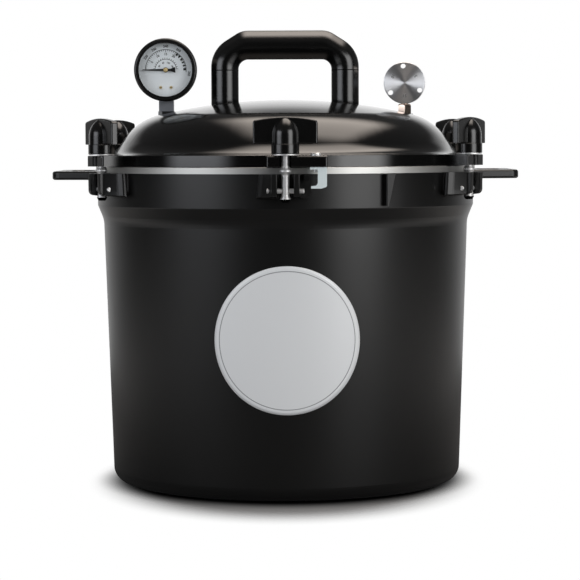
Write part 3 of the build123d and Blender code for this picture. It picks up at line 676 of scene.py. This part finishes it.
# the floor's tones: as it is seen, with a painted shadow where the pot meets it, and as it is mirrored near
# and far
sheet = dict(rings=(0.0, 0.3, 0.7, 1.5), around=64, middleY=-0.5, drop=0.3 * mm, colour="#808080",
             paintedShadowColour="#0a0a0a", paintedShadowFrom=0.152, paintedShadowTo=0.192, paintedShadowSqueeze=(1.1, 1, 1),
             fadeFrom=0.19, fadeTo=0.27, fadeSqueeze=(1.5, 1, 1), mirrorNear="#606060", mirrorFar="#dcdcdc",
             nearTo=0.45, farFrom=0.9)


def floorPaper():
    # pale paper: keeps the cast shadow, has a painted shadow where the pot meets it, fades into the white
    # studio
    material, tree = newMaterial("pale studio paper")
    place = add(tree, "TexCoord").outputs["Object"]
    seen = add(tree, "LightPath").outputs["Is Camera Ray"]
    oval = distance(tree, place, sheet["fadeSqueeze"])
    fade = remap(tree, oval, 0.0, 1.0, sheet["fadeFrom"], sheet["fadeTo"], True)
    # painted shadow: the paper is painted near black where the pot meets it, clearing outwards
    under = distance(tree, place, sheet["paintedShadowSqueeze"])
    away = remap(tree, under, 0.0, 1.0, sheet["paintedShadowFrom"], sheet["paintedShadowTo"], True)
    aside = calc(tree, "ABSOLUTE", add(tree, "SeparateXYZ", {0: place}).outputs["X"])
    far = remap(tree, aside, 0.0, 1.0, sheet["nearTo"], sheet["farFrom"], True)
    mirrored = blendColour(tree, far, linear(sheet["mirrorNear"]), linear(sheet["mirrorFar"]))
    direct = blendColour(tree, away, linear(sheet["paintedShadowColour"]), linear(sheet["colour"]))
    paper = add(tree, "BsdfDiffuse", {"Color": blendColour(tree, seen, mirrored, direct)})
    clear = add(tree, "BsdfTransparent")
    share = calc(tree, "MULTIPLY", calc(tree, "MULTIPLY", fade, seen), away)
    mixed = add(tree, "MixShader", {0: share, 1: paper.outputs[0], 2: clear.outputs[0]})
    add(tree, "OutputMaterial", {"Surface": mixed.outputs[0]})
    return material


def studioFloor():
    # flat rings about a middle in front of the pot, a hair below its base
    ring = np.array(sheet["rings"])[:, None]
    angle = np.linspace(0, 2 * pi, sheet["around"], endpoint=False)[None, :]
    level = np.full((len(ring), sheet["around"]), -sheet["drop"])
    points = np.stack([ring * np.cos(angle), ring * np.sin(angle) + sheet["middleY"], level], -1)
    faces = gridFaces(len(ring), sheet["around"], closeColumns=True)[:, ::-1]
    mesh = bpy.data.meshes.new("studio_floor")
    mesh.from_pydata(points.reshape(-1, 3).tolist(), [], faces.tolist())
    mesh.materials.append(floorPaper())
    floor = bpy.data.objects.new("studio_floor", mesh)
    scene.collection.objects.link(floor)


# strengths of the room's light: on dull things, and as mirrored from the backdrop, the front and the ceiling
room = dict(ambient=0.56, frontGlow=0.02, ceilingGlow=0.08, ceilingFrom=0.5, backdropLow=0.9, backdrop=1.25,
            horizon=(-0.06, 0.04), backdropTop=0.37, backdropBlur=0.1, backdropFall=2.5)


def studioWorld():
    # white where it is seen; mirrored as a white backdrop behind the object, under a dark ceiling
    world = bpy.data.worlds.new("studio")
    scene.world = world
    world.use_nodes = True
    tree = world.node_tree
    tree.nodes.clear()
    axes = add(tree, "SeparateXYZ", {0: add(tree, "TexCoord").outputs["Generated"]})
    height = axes.outputs["Z"]
    behind = calc(tree, "POWER", calc(tree, "MAXIMUM", axes.outputs["Y"], 0.0), room["backdropFall"])
    level = remap(tree, height, room["backdropLow"], room["backdrop"], *room["horizon"])
    below = remap(tree, height, 1.0, 0.0, room["backdropTop"] - room["backdropBlur"],
                  room["backdropTop"] + room["backdropBlur"], True)
    backdrop = calc(tree, "MULTIPLY", calc(tree, "MULTIPLY", behind, level), below)
    glow = remap(tree, height, room["frontGlow"], room["ceilingGlow"], 0.0, room["ceilingFrom"])
    mirrored = calc(tree, "MAXIMUM", backdrop, glow)
    ray = add(tree, "LightPath")
    shiny = calc(tree, "MAXIMUM", ray.outputs["Is Glossy Ray"], ray.outputs["Is Transmission Ray"])
    indirect = blendValue(tree, shiny, room["ambient"], mirrored)
    strength = blendValue(tree, ray.outputs["Is Camera Ray"], indirect, 1.0)
    light = add(tree, "Background", {"Color": (1, 1, 1, 1), "Strength": strength})
    add(tree, "OutputWorld", {"Surface": light.outputs[0]})


# each lamp: middle, what it faces, width, height, brightness of its face, tint, share of each half that fades
lamps = dict(overhead=((0.2, 0.11, 1.36), (0.2, 0.11, 0), 1.32, 1.72, 3.9, "#fff3e8", (0.5, 0.64)),
             right=((1.02, -1.1, 0.55), (0, 0, 0.25), 1.21, 1.05, 3.6, "#ffffff", (0.6, 0.3)),
             left=((-1.17, -0.95, 0.54), (0, 0, 0.25), 1.36, 0.66, 2.8, "#f6f9ff", (0.6, 0.2)))


def softFace(lamp, fade):
    # a softbox: even in its middle, and falling smoothly to none at each edge
    lamp.use_nodes = True
    tree = lamp.node_tree
    tree.nodes.clear()
    place = add(tree, "NewGeometry").outputs["Parametric"]
    away = add(tree, "VectorMath", {0: place, 1: (0.5, 0.5, 0)}, operation="SUBTRACT")
    away = add(tree, "VectorMath", {0: away.outputs[0]}, operation="ABSOLUTE")
    axes = add(tree, "SeparateXYZ", {0: away.outputs[0]})
    levels = [remap(tree, axes.outputs[axis], 1.0, 0.0, (1 - share) / 2, 0.5, True)
              for axis, share in zip("XY", fade)]
    glow = add(tree, "Emission", {"Strength": calc(tree, "MULTIPLY", *levels)})
    add(tree, "OutputLight", {"Surface": glow.outputs[0]})


def studioLamps():
    # the power of a lamp is its brightness times pi times its area
    for name, (middle, target, width, height, brightness, tint, fade) in lamps.items():
        lamp = bpy.data.lights.new("lamp_" + name, "AREA")
        lamp.shape = "RECTANGLE"
        lamp.size, lamp.size_y = width, height
        lamp.energy = brightness * pi * width * height
        lamp.color = linear(tint)[:3]
        softFace(lamp, fade)
        holder = bpy.data.objects.new("lamp_" + name, lamp)
        holder.rotation_euler = (Vector(target) - Vector(middle)).to_track_quat("-Z", "Y").to_euler()
        holder.location = middle
        holder.visible_camera = False
        scene.collection.objects.link(holder)


# the camera stands in front, a little over the middle, as in the photograph; angles in degrees
view = dict(place=(0, -2.090, 0.305), focalPixels=2325, framePixels=580, sensor=36, pitchDown=3.716,
            yawRight=0.101, roll=-0.24)


def studioCamera():
    # the lens is to the sensor as the focal length in pixels is to the picture's width
    camera = bpy.data.cameras.new("camera")
    camera.sensor_width = view["sensor"]
    camera.sensor_fit = "HORIZONTAL"
    camera.lens = view["focalPixels"] / view["framePixels"] * camera.sensor_width
    holder = bpy.data.objects.new("camera", camera)
    aim = Euler((radians(90 - view["pitchDown"]), 0, radians(-view["yawRight"]))).to_matrix()
    aim = aim @ Matrix.Rotation(radians(view["roll"]), 3, "Z")
    holder.matrix_world = Matrix.Translation(view["place"]) @ aim.to_4x4()
    scene.collection.objects.link(holder)
    scene.camera = holder


studioFloor()
studioWorld()
studioLamps()
studioCamera()
print("stage: set")
